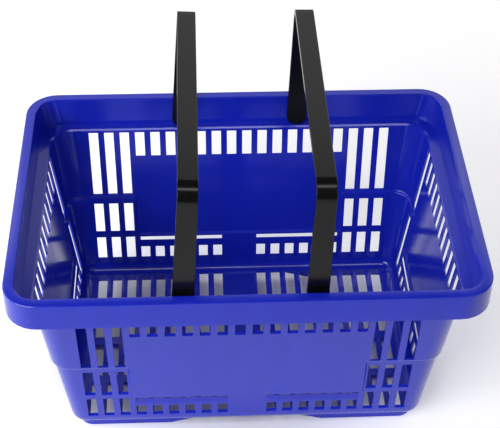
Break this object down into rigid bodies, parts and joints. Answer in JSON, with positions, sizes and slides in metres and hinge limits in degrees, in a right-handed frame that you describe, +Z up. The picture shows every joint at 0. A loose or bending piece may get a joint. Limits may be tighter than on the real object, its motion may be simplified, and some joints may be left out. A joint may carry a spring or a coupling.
{
  "type": "shopping basket",
  "caption": "Hand-held shopping basket: a slotted moulded body with a flanged rim and swinging bail handles that fold flat inside the rim.",
  "frame": {"origin": "on the ground under the middle of the basket", "axes": "+Z up; X along the basket's length, with the left handle on -X; Y across its width; the handles' grips run along Y"},
  "size_m": [0.431, 0.2974, 0.3398],
  "materials": {
    "body_moulding": "semi-gloss injection-moulded polypropylene, deep blue",
    "handle_moulding": "satin injection-moulded polypropylene, black"
  },
  "bodies": {
    "basket": {"basket_body": "body_moulding"},
    "left_bail": {"left_handle": "handle_moulding"},
    "right_bail": {"right_handle": "handle_moulding"}
  },
  "joints": [
    {"name": "left_handle_swing", "type": "hinge", "parent": "basket", "child": "left_bail", "pos_m": [-0.059, 0, 0.204], "axis": [0, 1, 0], "range_deg": [-93.3, 18]},
    {"name": "right_handle_swing", "type": "hinge", "parent": "basket", "child": "right_bail", "pos_m": [0.059, 0, 0.204], "axis": [0, 1, 0], "range_deg": [-22.3, 89]}
  ]
}
